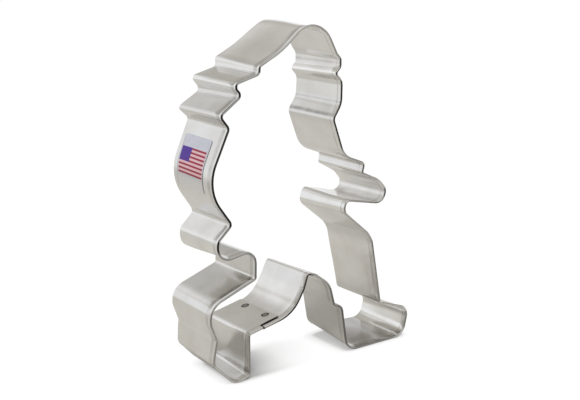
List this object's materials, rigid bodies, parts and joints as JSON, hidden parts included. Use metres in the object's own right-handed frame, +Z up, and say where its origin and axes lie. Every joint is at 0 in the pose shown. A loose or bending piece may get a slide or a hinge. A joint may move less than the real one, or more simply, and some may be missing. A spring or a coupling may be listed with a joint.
{
  "type": "cookie cutter",
  "caption": "Tinplate cookie cutter in the outline of a walking shaggy ape-man, bent from a hemmed strip with a spot-welded lap and a small striped label.",
  "frame": {"origin": "on the floor below the middle of the cutter's box, standing on its two feet", "axes": "+Z up the figure, +Y from the hemmed front edge to the cutting edge, +X to the side that the figure faces"},
  "size_m": [0.0838, 0.0254, 0.1138],
  "materials": {
    "tinplate": "satin tin coating with soft streaks and rubbed bends",
    "weld_metal": "dull grey, dished by the electrodes",
    "label_film": "clear film with a printed blue block and red stripes"
  },
  "bodies": {
    "root": {"strip": "tinplate", "weld_front": "weld_metal", "weld_rear": "weld_metal", "label": "label_film"}
  },
  "joints": []
}
